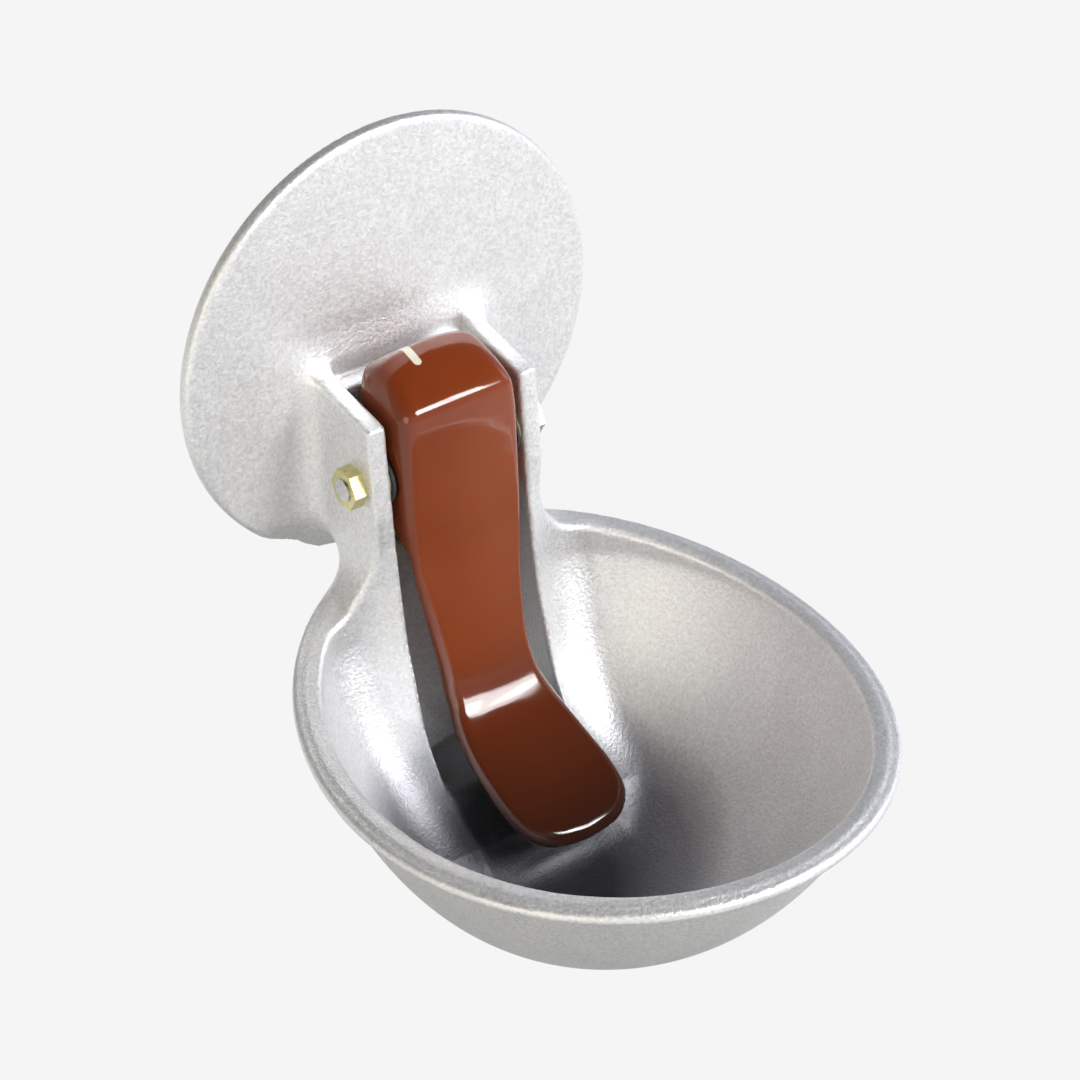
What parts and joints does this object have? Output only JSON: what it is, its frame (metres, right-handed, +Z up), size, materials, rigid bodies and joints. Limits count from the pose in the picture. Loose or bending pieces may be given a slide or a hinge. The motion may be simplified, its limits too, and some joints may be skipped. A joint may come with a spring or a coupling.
{
  "type": "livestock drinking bowl",
  "caption": "Wall-mounted cast aluminium drinking bowl for cattle or horses with an enamelled nose paddle hinged between two cheeks over a push valve.",
  "frame": {"origin": "Where the valve's axis meets the wall plane: the centre of the inlet's mouth at the back.", "axes": "+Z up the wall, +Y into the wall (the bowl stands out towards -Y), +X to the right seen by an animal facing the wall."},
  "size_m": [0.193, 0.228, 0.2562],
  "materials": {
    "cast_aluminium": "blasted as-cast aluminium, satin",
    "paddle_enamel": "glossy baked red-brown enamel",
    "plain_steel": "zinc plated steel",
    "bright_steel": "stainless steel",
    "spring_steel": "spring wire",
    "yellow_zinc": "yellow passivated zinc plate",
    "bush_plastic": "moulded acetal",
    "seat_plastic": "moulded acetal",
    "brass": "turned brass",
    "black_rubber": "moulded rubber"
  },
  "bodies": {
    "body": {"cast_body": "cast_aluminium", "pivot_bolt": "bright_steel", "pivot_nut": "yellow_zinc", "pivot_washers": "yellow_zinc", "pivot_sleeve": "bright_steel", "valve_body": "brass", "valve_gasket": "black_rubber", "valve_cap": "brass", "cap_o_ring": "black_rubber", "valve_seat": "seat_plastic", "valve_spring": "spring_steel", "inlet_strainer": "bright_steel", "rear_seal_ring": "black_rubber"},
    "paddle": {"nose_paddle": "paddle_enamel", "striker_bolt": "plain_steel", "striker_lock_nut": "plain_steel", "paddle_bushes": "bush_plastic"},
    "stem": {"valve_stem": "bright_steel", "stem_seal": "black_rubber", "seal_retainer": "bright_steel"}
  },
  "joints": [
    {"name": "paddle_pivot", "type": "hinge", "parent": "body", "child": "paddle", "pos_m": [0, -0.033, 0.025], "axis": [1, 0, 0], "range_deg": [0, 6]},
    {"name": "stem_slide", "type": "slide", "parent": "body", "child": "stem", "axis": [0, 1, 0], "range_m": [0, 0.0028], "stiffness_N_per_m": 1500, "springref_m": -0.008, "deforming": ["valve_spring"]}
  ],
  "couplings": [
    {"joint": "stem_slide", "follows": "paddle_pivot", "m_per_rad": 0.0254}
  ]
}
